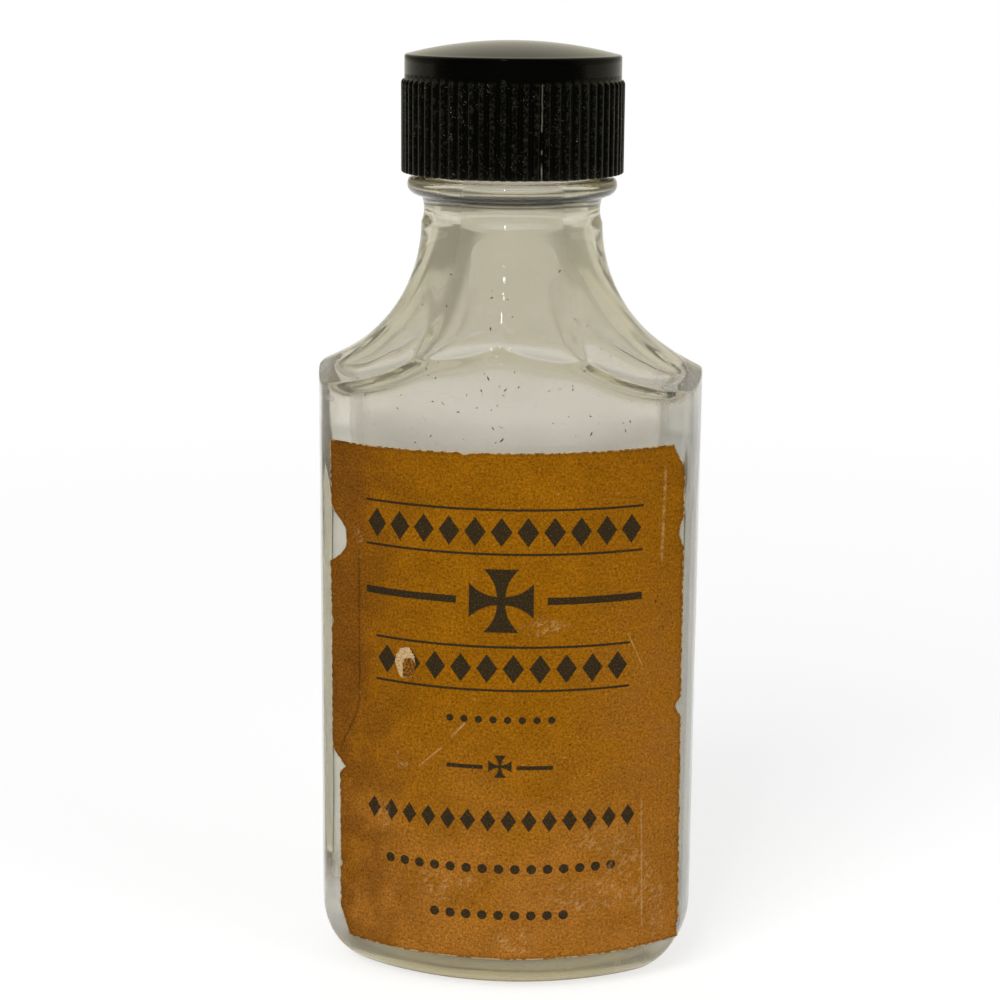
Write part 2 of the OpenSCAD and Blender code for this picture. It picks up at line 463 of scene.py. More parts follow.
        def floor_corner(angle, share):
            height = s.floor + FLOOR_CORNER * (1.0 - math.sin(0.5 * math.pi * share))
            return self.inner(angle, height), height

        def floor(angle, share):
            return self.inner(angle, s.floor) * (1.0 - share), s.floor

        return row_list(
            (dish, shares(8)), (foot, shares(3)), (heel, shares(18)), (wall, shares(34, ease=0.9)),
            (shoulder, [share ** 1.6 for share in shares(46)]), (fixed, self.neck_points()),
            (finish, shares(46)), (fixed, self.lip_points()), (bore, shares(8)),
            (inner_shoulder, shares(60)), (inner_wall, shares(22)), (floor_corner, shares(12)),
            (floor, shares(6, ends=True)))

    def neck_points(self):
        """Points of the waisted neck and its bead, up to the foot of the finish."""
        s = self.s
        foot = s.neck_foot
        waist = s.neck_radius - 0.33 * MM
        bead = 1.25 * MM
        middle = (BEAD_RADIUS - bead, self.bead_top - 0.85 * MM)
        points = bent((s.neck_radius, foot), (waist, foot + 0.8 * MM), (waist, foot + 1.5 * MM), 6)
        points += bent((waist, foot + 1.5 * MM), (waist + 0.02 * MM, middle[1] - bead - 0.05 * MM),
                       (middle[0] + 0.05 * MM, middle[1] - bead), 12)
        brow = math.radians(22)
        points += arc(middle, bead, math.radians(-85), brow, 14)
        edge = (middle[0] + bead * math.cos(brow), middle[1] + bead * math.sin(brow))
        points += bent(edge, (edge[0] - 0.14 * MM, self.bead_top),
                       (edge[0] - 0.6 * MM, self.bead_top), 6)
        points += bent((s.finish_radius + 0.4 * MM, self.bead_top), (s.finish_radius, self.bead_top),
                       (s.finish_radius, self.finish_foot), 5)
        return points

    def lip_points(self):
        """Points of the rounded lip, from the finish to the bore."""
        s = self.s
        outer = (s.finish_radius - LIP_OUTER, self.lip - LIP_OUTER)
        inner = (s.bore + LIP_INNER, self.lip - LIP_INNER)
        return (arc(outer, LIP_OUTER, 0.0, 0.5 * math.pi, 7) + [(outer[0], self.lip)]
                + arc(inner, LIP_INNER, 0.5 * math.pi, math.pi, 6))


def arc(middle, radius, start, end, count):
    """Points of an arc from start to just before end, in radians."""
    turns = [stretch(start, end, share) for share in shares(count)]
    return [(middle[0] + radius * math.cos(turn), middle[1] + radius * math.sin(turn)) for turn in turns]


def bent(start, pull, end, count):
    """Points of a curve from start to just before end that pull draws out."""
    points = []
    for share in shares(count):
        rest = 1.0 - share
        points.append(tuple(rest * rest * a + 2.0 * rest * share * b + share * share * c
                            for a, b, c in zip(start, pull, end)))
    return points


class CapForm:
    """The moulded shape of the cap, outside and in."""

    def __init__(self, s, glass):
        low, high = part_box("cap")
        self.s = s
        self.pitch = glass.thread_pitch
        self.foot = low.z
        self.top = high.z
        self.ribbed = high.x
        self.skirt = self.ribbed - s.rib_height
        self.rim_height = self.top - s.dome
        self.rib_top = self.rim_height - s.band
        self.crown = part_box("liner_backing")[1].z
        self.dome_edge = self.skirt - s.rim
        self.dome_ball = (self.dome_edge ** 2 + s.dome ** 2) / (2.0 * s.dome)
        self.thread_start = glass.neck_foot + BEAD_RISE + THREAD_RISE - 0.5 * self.pitch

    def rib(self, angle):
        """Height of the ribs over the skirt."""
        s = self.s
        step = FULL_TURN / s.ribs
        off = (angle / step - np.round(angle / step)) * step * self.ribbed
        top = leg(s.rib_round, off) - s.rib_round + s.rib_height
        return np.maximum(top, 0.0)

    def rows(self):
        """Rows from the middle of the dome, down the outside, round the skirt and up the bore."""
        s = self.s
        end = 0.55 * MM

        def dome(angle, share):
            radius = self.dome_edge * share
            return radius + 0.0 * angle, self.top - self.dome_ball + leg(self.dome_ball, radius)

        def rib_end(angle, share):
            rise = math.sin(0.5 * math.pi * share)
            fall = end * (1.0 - math.cos(0.5 * math.pi * share))
            return self.skirt + self.rib(angle) * rise, self.rib_top - fall

        def ribs(angle, share):
            return self.skirt + self.rib(angle), stretch(self.rib_top - end, self.foot + HEM, share)

        def hem(angle, share):
            turn = 0.5 * math.pi * share
            inset = HEM * (1.0 - math.cos(turn))
            return self.skirt + self.rib(angle) - inset, self.foot + HEM * (1.0 - math.sin(turn))

        def bore(angle, share):
            height = stretch(self.foot + 0.3 * MM, self.crown - 0.2 * MM, share)
            ridge = screw_ridge(
                angle, height, self.thread_start, self.pitch, turns=2.45, half_width=0.75 * MM)
            return s.bore - s.thread_depth * ridge, height

        rim = arc((self.dome_edge, self.rim_height - s.rim), s.rim, 0.5 * math.pi, 0.0, 6)
        band = [(self.skirt, stretch(self.rim_height - s.rim, self.rib_top, share)) for share in shares(4)]
        inlet = [(s.bore + 0.3 * MM, self.foot), (s.bore + 0.08 * MM, self.foot + 0.08 * MM)]
        crown = [(s.bore - 0.2 * MM, self.crown), (0.5 * s.bore, self.crown), (0.0, self.crown)]
        return row_list(
            (dome, shares(16)), (fixed, rim), (fixed, band), (rib_end, shares(6)), (ribs, shares(6)),
            (hem, shares(4, ends=True)), (fixed, inlet), (bore, shares(44, ends=True)), (fixed, crown))


def feed(tree, socket, value):
    """Links a socket to value, or sets it."""
    if isinstance(value, Wire):
        tree.links.new(value.socket, socket)
    elif socket.type == "RGBA":
        socket.default_value = (*value[:3], 1.0)
    else:
        socket.default_value = value


def add_node(tree, kind, inputs, **options):
    """A new node with its options set and its inputs fed."""
    node = tree.nodes.new(kind)
    for name, option in options.items():
        setattr(node, name, option)
    for key, value in inputs.items():
        feed(tree, node.inputs[key], value)
    return node


class Wire:
    """A number, vector or colour in a node tree: arithmetic with it adds nodes."""

    def __init__(self, tree, socket):
        self.tree = tree
        self.socket = socket

    def step(self, operation, *others, clamp=False):
        """One step of arithmetic."""
        inputs = dict(enumerate((self, *others)))
        node = add_node(self.tree, "ShaderNodeMath", inputs, operation=operation, use_clamp=clamp)
        return Wire(self.tree, node.outputs[0])

    __add__ = partialmethod(step, "ADD")
    __sub__ = partialmethod(step, "SUBTRACT")
    __rsub__ = partialmethod(step, "MULTIPLY_ADD", -1.0)
    __mul__ = partialmethod(step, "MULTIPLY")
    __truediv__ = partialmethod(step, "DIVIDE")
    __pow__ = partialmethod(step, "POWER")
    __abs__ = partialmethod(step, "ABSOLUTE")

    def ease(self, low, high, start=0.0, end=1.0):
        """Goes from start at low to end at high, smoothly and no further."""
        inputs = {"Value": self, "From Min": low, "From Max": high, "To Min": start, "To Max": end}
        node = add_node(self.tree, "ShaderNodeMapRange", inputs, interpolation_type="SMOOTHSTEP")
        return Wire(self.tree, node.outputs["Result"])

    def within(self, start, end, soft):
        """1 between start and end, with soft limits."""
        return self.ease(start - soft, start + soft) * self.ease(end + soft, end - soft)


def most(*values):
    """The greatest of several values."""
    return reduce(lambda first, second: first.step("MAXIMUM", second), values)


def parts(vector):
    """The three numbers of a vector."""
    node = add_node(vector.tree, "ShaderNodeSeparateXYZ", {0: vector})
    return [Wire(vector.tree, socket) for socket in node.outputs]


def size_of(vector):
    """The length of a vector."""
    node = add_node(vector.tree, "ShaderNodeVectorMath", {0: vector}, operation="LENGTH")
    return Wire(vector.tree, node.outputs["Value"])


def placed(vector, scale=(1, 1, 1), turn=(0, 0, 0), move=(0, 0, 0)):
    """A pattern's coordinates, scaled, turned and moved."""
    inputs = {"Vector": vector, "Location": move, "Rotation": turn, "Scale": scale}
    node = add_node(vector.tree, "ShaderNodeMapping", inputs)
    return Wire(vector.tree, node.outputs["Vector"])


def grain(vector, scale, detail=2.0, roughness=0.5, distortion=0.0):
    """Cloudy noise round 0.5."""
    inputs = {"Vector": vector, "Scale": scale, "Detail": detail, "Roughness": roughness,
              "Distortion": distortion}
    node = add_node(vector.tree, "ShaderNodeTexNoise", inputs)
    return Wire(vector.tree, node.outputs["Fac"])


def layered(colour, *layers):
    """A colour under layers, each a share, a colour and, unless it simply covers, a way of mixing."""
    for share, cover, *mode in layers:
        tree = next(value.tree for value in (share, colour, cover) if isinstance(value, Wire))
        node = add_node(tree, "ShaderNodeMix", {}, data_type="RGBA", blend_type=mode[0] if mode else "MIX")
        for key, value in ((0, share), (6, colour), (7, cover)):
            feed(tree, node.inputs[key], value)
        colour = Wire(tree, node.outputs[2])
    return colour


def darker(colour, share):
    """A share of a colour."""
    return tuple(share * part for part in colour)


class Look:
    """A new material with its Principled shader."""

    def __init__(self, name):
        self.material = bpy.data.materials.new(name)
        self.material.use_nodes = True
        self.tree = self.material.node_tree
        self.shader = self.tree.nodes["Principled BSDF"]

    def source(self, name):
        """One of the coordinates."""
        return Wire(self.tree, self.tree.nodes.new("ShaderNodeTexCoord").outputs[name])

    def place(self):
        """The place in the bottle's frame, as a vector and as its three numbers in millimetres."""
        place = self.source("Object")
        return place, *parts(placed(place, scale=(1 / MM, 1 / MM, 1 / MM)))

    def give(self, values):
        """Sets or links inputs of the shader."""
        for name, value in values.items():
            feed(self.tree, self.shader.inputs[name], value)

    def bump(self, height, millimetres, strength=1.0):
        """Lets height raise the surface."""
        inputs = {"Strength": strength, "Distance": millimetres * MM, "Height": height}
        node = add_node(self.tree, "ShaderNodeBump", inputs)
        self.tree.links.new(node.outputs["Normal"], self.shader.inputs["Normal"])


def patch(across, up, middle, size):
    """A soft oval round middle."""
    x = (across - middle[0]) / size[0]
    y = (up - middle[1]) / size[1]
    return (x * x + y * y).ease(1.0, 0.2)


def glass_material(s):
    """Clear pressed glass: warm grey tint, faintly wavy surface, films, a little dirt, and painted shade
    under the bead and down the right edge.
    """
    look = Look("clear_glass")
    place, x, y, z = look.place()
    aside = abs(x)
    smear = grain(placed(place, scale=(1, 1, 0.5)), 160.0, 4.0, 0.6)
    worn_foot = z.ease(1.6, 1.0)
    heel = z.ease(6.5, 2.5)
    ends = z.ease(65, 69) + z.ease(13, 9)
    corner = aside.ease(20.6, 22.6) * ends * z.ease(82, 77)
    foot_corner = aside.ease(16.5, 20.5) * z.ease(15, 9)
    film = most(most(corner, heel) * smear.ease(0.3, 0.7, 0.16, 0.30),
                foot_corner * smear.ease(0.3, 0.7, 0.40, 0.55))
    crease = abs(grain(place, 330.0, 3.0, 0.6, 0.8) - 0.5)
    crinkles = most(crease.ease(0.020, 0.006) * patch(x, z, (20.2, 75.8), (3.6, 3.2)),
                    crease.ease(0.014, 0.004) * patch(x, z, (-20.8, 75.6), (2.4, 2.4)),
                    patch(x, z, (-21.2, 73.2), (1.1, 0.5)) * 0.8)
    grime = crinkles * y.ease(-2, -4) * 0.45
    # Painted shade: a dark band in the groove under the bead, on the front only
    painted_shade_under_bead = z.within(96.4, 97.7, 0.2) * y.ease(-5.5, -8.5)
    # Painted shade: a darker strip down the right edge of the wall, below the shoulder
    painted_shade_right_edge = x.ease(21.8, 22.7) * z.ease(76, 71)
    look.give({
        "Base Color": layered(s.tint, (heel, s.heel_tint), (painted_shade_under_bead, (0.32, 0.31, 0.28)),
                              (painted_shade_right_edge, (0.46, 0.47, 0.44)), (grime, s.dirt)),
        "Transmission Weight": (1.0 - s.haze) - most(film, grime),
        "Roughness": most(smear.ease(0.5, 0.8, 0.0, 0.10), worn_foot * 0.7),
        "IOR": 1.5})
    look.bump(grain(placed(place, scale=(1, 1, 0.6)), 90.0, 1.0), 0.25)
    tint = add_node(look.tree, "ShaderNodeVolumeAbsorption", {"Color": s.deep_tint, "Density": s.density})
    look.tree.links.new(tint.outputs["Volume"], look.tree.nodes["Material Output"].inputs["Volume"])
    return look.material


def cap_material(s):
    """Black moulded resin: glossy on top; on the ribs rubbed, dusty and lighter on the crests (partly
    painted light) over painted shade in the valleys; a pale crack down the front.
    """
    look = Look("black_resin")
    place, x, y, z = look.place()
    rib_zone = z.ease(111.2, 110.8)
    fine = grain(place, 2600.0, 3.0, 0.65)
    cloud = grain(place, 300.0, 3.0, 0.6)
    out = (x * x + y * y).step("SQRT")
    # The lighter rib crests are partly real rubbing and partly painted light, against painted shade in the
    # valleys between them
    rubbed = rib_zone * out.ease(13.15, 13.42) * fine.ease(0.45, 0.68)
    specks = grain(place, 4600.0, 2.0, 0.4).ease(0.68, 0.72) * cloud.ease(0.44, 0.64, 0.05, 0.6)
    specks = specks * (rib_zone * 0.95 + 0.05)
    wander = (grain(place, 700.0, 3.0) - 0.5) * 0.012
    aside = abs(x.step("ARCTAN2", y * -1.0) + wander - 0.344)
    crack = aside.ease(0.009, 0.003) * cloud.ease(0.40, 0.52) * rib_zone * z.ease(109, 104, 0.3, 0.7)
    look.give({
        "Base Color": layered(s.black, (rubbed, s.scuff), (most(specks, crack), s.dust)),
        "Roughness": rib_zone * 0.18 + cloud.ease(0.3, 0.7, 0.06, 0.12),
        "Specular IOR Level": 0.14,
        "Specular Tint": (1.0, 0.96, 0.76)})
    look.bump(fine, 0.02, 0.6)
    return look.material


def board_material(s):
    """Raw pulpboard with fibres and a few stains."""
    look = Look("pulpboard")
    place = look.source("Object")
    fibre = grain(placed(place, scale=(1, 3, 1)), 900.0, 4.0, 0.7)
    stained = grain(place, 140.0, 3.0).ease(0.5, 0.75, 0.0, 0.5)
    colour = layered(s.board, (fibre.ease(0.35, 0.7), darker(s.board, 0.72)), (stained, s.stain))
    look.give({"Base Color": colour, "Roughness": 0.9})
    look.bump(fibre, 0.08)
    return look.material


def waxed_material(s):
    """Waxed paper, slightly shiny, stained where the lip pressed it."""
    look = Look("waxed_paper")
    place, x, y = look.place()[:3]
    out = (x * x + y * y).step("SQRT")
    ring = out.ease(6.2, 7.2) * out.ease(10.8, 10.2)
    cloud = grain(place, 220.0, 4.0, 0.6)
    stained = cloud.ease(0.4, 0.7) * (ring * 0.5 + 0.15)
    look.give({
        "Base Color": layered(s.waxed_paper, (stained, s.stain)),
        "Roughness": cloud.ease(0.3, 0.7, 0.3, 0.5),
        "Coat Weight": 0.3})
    look.bump(grain(place, 500.0, 3.0), 0.05)
    return look.material


def speck_material(s):
    """Dried dirt."""
    look = Look("dried_dirt")
    look.give({"Base Color": s.dirt, "Roughness": 0.9})
    return look.material


def bar(across, along, middle, half_width, start, end):
    """Ink of a straight printed rule along the second axis."""
    soft = 0.06
    width = abs(across - middle).ease(half_width + soft, half_width - soft)
    return width * along.within(start, end, soft)


def motif_row(across, along, middle, start, count, pitch, half, pointed):
    """Ink of a row of equal lozenges, or of dots where they aren't pointed."""
    soft = 0.06 / half[0]
    a = abs(((along - start) / pitch).step("FRACT") - 0.5) * (pitch / half[0])
    b = abs(across - middle) / half[1]
    if not pointed:
        a = a * a
        b = b * b
    run = along.step("GREATER_THAN", start) * along.step("LESS_THAN", start + count * pitch)
    return (a + b).ease(1.0 + soft, 1.0 - soft) * run


def flared_cross(across, up, middle, half):
    """Ink of a plain cross whose four arms widen to their ends."""
    soft = 0.07
    x = abs(across - middle[0])
    y = abs(up - middle[1])
    arms = []
    for along, aside in ((x, y), (y, x)):
        width = (along / half) ** 2.4 * (0.42 * half) + 0.13 * half
        arms.append((width - aside).ease(-soft, soft) * along.ease(half + soft, half - soft))
    return most(*arms)


def streak(across, up, start, end, half_width, grainy):
    """A straight scratch from start to end, broken up by grain."""
    way = Vector(end) - Vector(start)
    reach = way.length
    unit = way / reach
    x = across - start[0]
    y = up - start[1]
    along = x * unit.x + y * unit.y
    aside = x * unit.y - y * unit.x
    run = along.ease(0.0, 0.12 * reach) * along.ease(reach, 0.88 * reach)
    return abs(aside).ease(half_width, 0.3 * half_width) * run * grainy


# Rubbed places of the label, in millimetres on the flat paper: middle and half size
SCUFFS = [((15.5, 18.0), (2.8, 5.2)), ((18.8, 14.0), (2.8, 6.0)), ((11.5, 13.0), (6.5, 2.6)),
          ((-7.6, 14.2), (3.0, 2.8)), ((-3.2, 14.8), (1.8, 1.4)), ((-14.5, 22.2), (1.2, 2.6)),
          ((-11.9, 29.2), (1.0, 0.8)), ((12.6, 20.4), (3.6, 2.0)), ((2.4, 7.2), (3.4, 1.8)),
          ((5.8, 47.4), (3.4, 1.4)), ((-18.2, 57.0), (0.9, 1.2)), ((20.4, 58.8), (0.5, 0.5)),
          ((20.3, 47.6), (0.6, 0.5)), ((21.0, 10.0), (1.4, 5.0))]
# Scratches: start, end and half width
SCRATCHES = [((20.9, 66.5), (20.6, 54.0), 0.30), ((18.4, 25.5), (18.9, 7.0), 0.20),
             ((-3.7, 35.4), (-5.6, 33.2), 0.20), ((-6.6, 32.0), (-9.9, 29.0), 0.16),
             ((15.9, 46.5), (18.3, 41.5), 0.12)]
# Printed rules: height, half width, start and end
RULES = [(29.8, 0.26, -6.1, -1.6), (29.8, 0.26, 2.5, 6.9), (50.6, 0.45, -17.0, -5.0),
         (50.6, 0.45, 6.0, 17.9), (61.7, 0.15, -17.0, 17.9), (56.3, 0.15, -17.0, 17.9),
         (44.9, 0.15, -15.6, 16.4), (39.5, 0.15, -15.6, 16.4)]
# Printed crosses: middle and half size
CROSSES = [((0.47, 29.95), 1.42), ((0.47, 50.6), 3.9)]
# Printed rows: height, start, number, pitch, half size and whether they are lozenges
MOTIFS = [(59.0, -17.0, 11, 3.173, (1.3, 1.8), True), (42.2, -15.6, 10, 3.2, (1.3, 1.8), True),
          (35.8, -6.6, 8, 1.77, (0.45, 0.45), False), (23.0, -17.2, 14, 2.5, (0.95, 1.4), True),
          (16.8, -14.6, 15, 2.0, (0.6, 0.6), False), (10.8, -8.6, 9, 2.0, (0.6, 0.6), False)]


def aged_paper(s, x, z, flat, blot, fibre, fleck):
    """Colour of the label's plain paper: darker on the left, rubbed below, flecked all over."""
    cloud = grain(flat, 0.10, 4.0, 0.6, 0.5)
    low = z.ease(40.0, 10.0) * cloud.ease(0.3, 0.6, 0.35, 1.0)
    right = x.ease(4.0, 22.0) * blot.ease(0.3, 0.6, 0.2, 0.8) * z.ease(60.0, 34.0, 0.1, 1.0)
    past = z.ease(38.0, 28.0) ** 1.5 * -3.4 - 18.2 - x
    left = past.ease(-2.6, 0.6) * z.ease(20.0, 32.0, 0.35, 0.8)
    soft_left = x.ease(-6.0, -21.0) * blot.ease(0.35, 0.6, 0.15, 0.7)
    tide = abs(past).ease(0.22, 0.05) * z.ease(28.0, 30.0) * z.ease(58.0, 52.0)
    return layered(
        s.paper, (most(low, right), s.worn_paper), (left, s.dark_paper), (soft_left, s.dark_paper),
        (tide * 0.55, darker(s.dark_paper, 0.35)), (1.0, blot.ease(0.25, 0.75, 1.12, 0.88), "MULTIPLY"),
        (1.0, fibre.ease(0.25, 0.75, 1.58, 0.44), "MULTIPLY"),
        (fleck.ease(0.66, 0.76) * 0.75, darker(s.dark_paper, 0.3)),
        (fleck.ease(0.34, 0.25) * 0.25, s.torn_paper))


def label_material(s, glass):
    """Aged ochre paper: fibres, stains, rubbed places, torn edges, plain printed motifs and a pale back."""
    look = Look("label_paper")
    flat = placed(look.source("UV"), scale=(FLAT_SPAN, FLAT_SPAN, 1))
    x, z = parts(flat)[:2]
    x = x - 0.5 * FLAT_SPAN
    fibre = grain(flat, 3.4, 4.0, 0.75, 0.4)
    fleck = grain(flat, 1.3, 3.0, 0.6, 0.3)
    blot = grain(placed(flat, move=(31, 7, 0)), 0.22, 4.0, 0.6)

    slanted = placed(flat, turn=(0, 0, 0.8))
    hairs = grain(placed(slanted, scale=(1.7, 0.9, 1)), 1.0, 5.0, 0.72, 0.8)
    broken = hairs.ease(0.48, 0.66)
    solid = hairs.ease(0.36, 0.56)
    rubbed = most(*[streak(x, z, *scratch, solid) for scratch in SCRATCHES],
                  *[patch(x, z, *scuff) * broken for scuff in SCUFFS])

    printed = most(*[bar(z, x, *rule) for rule in RULES], *[flared_cross(x, z, *cross) for cross in CROSSES],
                   *[motif_row(z, x, *motif) for motif in MOTIFS])
    faded = grain(flat, 5.5, 3.0, 0.7).ease(0.70, 0.50, 0.55, 0.97)
    ink = printed.step("MULTIPLY", faded - rubbed * 0.5, clamp=True)

    ragged = (fleck - 0.5) * 1.1
    chip = (patch(x, z, (-11.5, 42.1), (1.7, 2.5)) + ragged).ease(0.40, 0.52)
    pit = (patch(x, z, (-11.0, 41.3), (1.3, 1.9)) + ragged * 1.6).ease(0.40, 0.62)
    edge = add_node(look.tree, "ShaderNodeAttribute", {}, attribute_name="edge")
    edge = Wire(look.tree, edge.outputs["Fac"])

    offset = glass.face_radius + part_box("bottle")[0].y
    from_axis = size_of(placed(look.source("Object"), scale=(1, 1, 0), move=(0, -offset, 0)))
    back = from_axis.ease(glass.face_radius + 0.08 * MM, glass.face_radius + 0.04 * MM)
    colour = layered(
        aged_paper(s, x, z, flat, blot, fibre, fleck), (rubbed * 0.6, s.scuffed_paper), (ink, s.ink),
        (chip, layered(s.torn_paper, (fibre.ease(0.45, 0.65), s.worn_paper))),
        (pit * chip, layered(s.worn_paper, (fibre.ease(0.40, 0.60), darker(s.dark_paper, 0.3)))),
        (edge.ease(0.15, 0.75) * 0.5, darker(s.dark_paper, 0.45)),
        (edge.ease(0.55, 0.95) * fleck.ease(0.42, 0.55) * 0.8, s.torn_paper),
        (back, layered(s.gummed_back, (blot.ease(0.35, 0.7, 0.0, 0.4), s.torn_paper))))
    look.give({
        "Base Color": colour,
        "Roughness": fleck.ease(0.3, 0.7, 0.62, 0.82),
        "Specular IOR Level": 0.06})
    look.bump(fibre * 0.6 + rubbed * -0.4 - chip, 0.05)
    return look.material


def follow(points, value):
    """The outline's place at a value, from points in order of that value."""
    return np.interp(value, [point[0] for point in points], [point[1] for point in points])


# Worn outline of the label in front view, in millimetres: height and place along the sides,
# then place and height along the other edges
LEFT_SIDE = [(4.9, -18.9), (5.8, -19.2), (8.4, -20.1), (13.6, -20.15), (14.2, -19.9), (14.8, -20.1),
             (26.7, -20.1), (26.9, -19.2), (27.4, -19.5), (29.0, -21.0), (29.6, -21.15), (45.0, -21.15),
             (45.6, -20.85), (46.2, -21.15), (53.3, -21.25), (54.4, -19.9), (55.4, -19.15), (56.4, -18.95),
             (57.2, -19.0), (58.0, -19.2), (58.7, -19.7), (59.7, -20.7), (60.6, -21.1), (68.6, -21.2)]
RIGHT_SIDE = [(4.9, 22.3), (6.6, 22.1), (7.2, 22.35), (17.0, 22.2), (17.4, 22.05), (17.8, 22.2),
              (24.0, 22.15), (24.4, 22.0), (24.8, 22.15), (34.1, 22.05), (34.9, 21.5), (35.5, 21.35),
              (36.0, 21.6), (36.5, 22.0), (55.7, 21.9), (56.9, 21.45), (57.7, 21.3), (58.5, 21.5),
              (59.4, 21.85), (61.0, 21.85), (64.8, 21.8), (66.0, 21.6), (67.4, 20.9), (68.9, 20.3)]
TOP_EDGE = [(-21.2, 68.2), (-12.0, 68.35), (-4.6, 68.5), (-4.0, 68.2), (-3.4, 68.5), (8.0, 68.6),
            (20.3, 68.7)]
FOOT_EDGE = [(-20.0, 4.95), (-6.0, 5.05), (2.0, 5.0), (12.0, 5.2), (22.4, 5.5)]
# How far the frayed edge reaches into the paper, in millimetres
FRAY = 0.35


def crowded(share, pull):
    """Shares drawn towards 0 and 1."""
    return stretch(share, 0.5 - 0.5 * np.cos(math.pi * share), pull)


def label_sheet(s, glass):
    """Lays a sheet with the worn outline on the bowed front and keeps its flat place as its UV map."""
    obj = blank("label_paper", LABEL_COLUMNS, LABEL_ROWS)
    mesh = obj.data
    place = places(mesh)
    u = crowded(place[:, 0] + 0.5, 0.4)
    v = crowded(place[:, 1] + 0.5, 0.3)
    level = stretch(LEFT_SIDE[0][0], LEFT_SIDE[-1][0], v)
    ragged = s.ragged / MM

    def tears(value, seed):
        coarse = np.array([noise.noise(Vector((1.9 * part, seed, 0.0))) for part in value])
        fine = np.array([noise.noise(Vector((5.3 * part, seed, 3.0))) for part in value])
        return ragged * (coarse + 0.6 * fine)

    left = follow(LEFT_SIDE, level) + tears(level, 1.0)
    right = follow(RIGHT_SIDE, level) + tears(level, 7.0)
    x = stretch(left, right, u)
    top = follow(TOP_EDGE, x) + 0.25 * tears(x, 13.0)
    foot = follow(FOOT_EDGE, x) + 0.6 * tears(x, 19.0)
    z = stretch(foot, top, v)
    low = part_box("label")[0]
    offset = glass.face_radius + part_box("bottle")[0].y
    radius = offset - low.y
    turn = np.arcsin(x * MM / radius)
    place[:, 0] = x * MM
    place[:, 1] = offset - radius * np.cos(turn)
    place[:, 2] = z * MM
    mesh.vertices.foreach_set("co", place.ravel())
    flat = np.stack([turn * radius / MM / FLAT_SPAN + 0.5, z / FLAT_SPAN], axis=1)
    corner = np.empty(len(mesh.loops), dtype=np.int32)
    mesh.loops.foreach_get("vertex_index", corner)
    mesh.uv_layers.active.data.foreach_set("uv", flat[corner].ravel())
    off = np.minimum(np.minimum(x - left, right - x), np.minimum(top - z, z - foot))
    mesh.attributes.new("edge", "FLOAT", "POINT")
    mesh.attributes["edge"].data.foreach_set("value", np.exp(-off / FRAY))
    mesh.update()
    edit_all(obj, (bpy.ops.mesh.normals_make_consistent, {"inside": False}))
    middle = min(mesh.polygons, key=lambda face: abs(face.center.x) + abs(face.center.z - 35 * MM))
    if middle.normal.y > 0.0:
        edit_all(obj, (bpy.ops.mesh.flip_normals, {}))
    bpy.ops.object.modifier_add(type="SOLIDIFY")
    solid = obj.modifiers[-1]
    solid.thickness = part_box("bottle")[0].y - low.y - 0.02 * MM
    solid.offset = -1.0
    bpy.ops.object.modifier_apply(modifier=solid.name)
    bpy.ops.object.shade_smooth_by_angle(angle=math.radians(50))
    deselect()
    return obj


def liner_rows(low, high, radius, dent):
    """Rows of a disc with softened edges and a shallow ring pressed into its lower face."""
    soft = 0.25 * (high - low)
    points = [(0.0, low), (5.4 * MM, low), (6.2 * MM, low + dent), (7.0 * MM, low + 0.05 * dent),
              (9.6 * MM, low + 0.05 * dent), (10.6 * MM, low + dent), (11.0 * MM, low), (radius - soft, low),
              (radius - 0.3 * soft, low + 0.3 * soft), (radius, low + soft), (radius, high - soft),
              (radius - 0.3 * soft, high - 0.3 * soft), (radius - soft, high),
              (0.5 * radius, high), (0.0, high)]
    return row_list((fixed, points))


def settings(context):
    """The bottle's settings in this scene."""
    return context.scene.holy_water_bottle


def finish_piece(obj, material, body, node):
    """Gives a piece its material, makes it move with its body and hides the frame's node for the same part.
    """
    obj.data.materials.clear()
    obj.data.materials.append(material)
    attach(obj, body)
    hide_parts(node)


def glass_specks(s, count):
    """Flat specks of dirt, strewn over the front and back above the label's height."""
    form = BottleForm(s)
    chance = random.Random(7)
    pieces = []
    for order in range(count):
        side = 0.0 if order % 4 else math.pi
        angle = side + chance.uniform(-0.95, 0.95)
        height = chance.triangular(69.0, 92.0, 69.6) * MM
        size = chance.triangular(0.03, 0.15, 0.05) * MM
        radius = float(form.outer(np.array([angle]), height)[0]) - 0.3 * size
        place = (radius * math.sin(angle), -radius * math.cos(angle), height)
        deselect()
        bpy.ops.mesh.primitive_ico_sphere_add(
            subdivisions=1, radius=size, location=place, rotation=(0.0, chance.uniform(0.0, 3.0), angle),
            scale=(chance.uniform(0.7, 2.8), 0.4, 0.8))
        pieces.append(bpy.context.object)
    deselect()
    for piece in pieces:
        piece.select_set(True)
    bpy.context.view_layer.objects.active = pieces[0]
    bpy.ops.object.join()
    obj = bpy.context.object
    obj.name = "dirt_specks"
    obj.data.name = "dirt_specks"
    bpy.ops.object.transform_apply(location=True, rotation=True, scale=True)
    bpy.ops.object.shade_smooth()
    deselect()
    return obj


class BOTTLE_OT_glass(bpy.types.Operator):
    """Model the glass bottle with its faceted shoulder, bead and screw finish"""
    bl_idname = "holy_water.glass"
    bl_label = "Glass"

    def execute(self, context):
        s = settings(context).glass
        obj = turned_piece("bottle_glass", BottleForm(s).rows(), GLASS_STEPS)
        finish_piece(obj, glass_material(s), "bottle", "bottle")
        specks = glass_specks(s, SPECKS)
        specks.data.materials.append(speck_material(s))
        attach(specks, "bottle")
        return {"FINISHED"}


